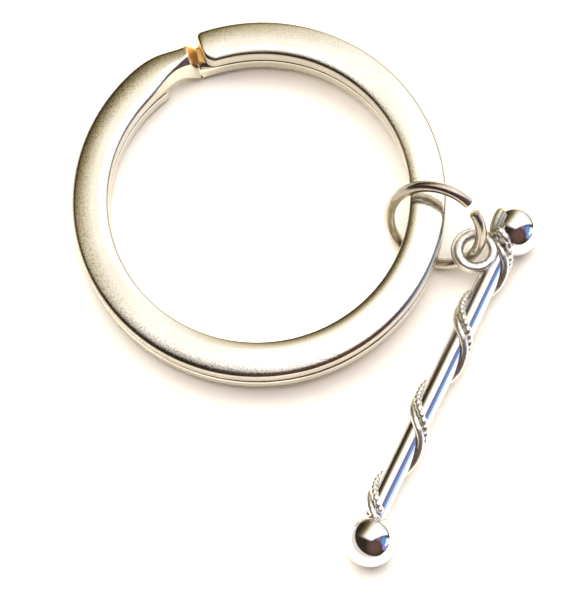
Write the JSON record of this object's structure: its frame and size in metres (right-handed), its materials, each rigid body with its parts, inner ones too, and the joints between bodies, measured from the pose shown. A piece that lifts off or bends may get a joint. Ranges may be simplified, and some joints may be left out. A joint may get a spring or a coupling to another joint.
{
  "type": "split key ring",
  "caption": "Flat-wire split key ring with a sprung free end, carrying a jump ring and a wire-wrapped bar charm with ball ends.",
  "frame": {"origin": "centre of the split ring, halfway through its thickness", "axes": "+Z is the split ring's axis, out of its upper turn; +X points from the centre towards the jump ring's side, 8 degrees off it; +Y completes the right-handed set"},
  "size_m": [0.0375, 0.0446, 0.0076],
  "materials": {
    "ring_metal": "satin nickel plate, fine scratches",
    "jump_wire": "bright plated round wire",
    "charm_silver": "mirror-bright silver plate",
    "cast_silver": "bright silver plate over an uneven cast surface"
  },
  "bodies": {
    "split_ring": {"lower_coil": "ring_metal", "step_bend": "ring_metal", "upper_coil": "ring_metal"},
    "sprung_end": {"coil_end": "ring_metal"},
    "link": {"jump_ring": "jump_wire"},
    "charm": {"charm_bar": "charm_silver", "upper_ball": "charm_silver", "lower_ball": "charm_silver", "charm_eye": "cast_silver", "eye_trim": "cast_silver", "wrap_smooth": "cast_silver", "wrap_beaded": "cast_silver", "wrap_head": "cast_silver"}
  },
  "joints": [
    {"name": "ring_travel", "type": "hinge", "parent": "split_ring", "child": "link", "pos_m": [0, 0, 0], "axis": [0, 0, 1], "range_deg": [-190, 22]},
    {"name": "charm_swing", "type": "hinge", "parent": "link", "child": "charm", "pos_m": [0.01731, -0.00389, -0.00072], "axis": [0.4817, 0.377, 0.7911], "range_deg": [-22, 60]},
    {"name": "end_lift", "type": "hinge", "parent": "split_ring", "child": "sprung_end", "pos_m": [0.01173, 0.00677, 0.00168], "axis": [0.866, 0.5, 0], "range_deg": [0, 9], "stiffness_Nm_per_rad": 0.1}
  ]
}
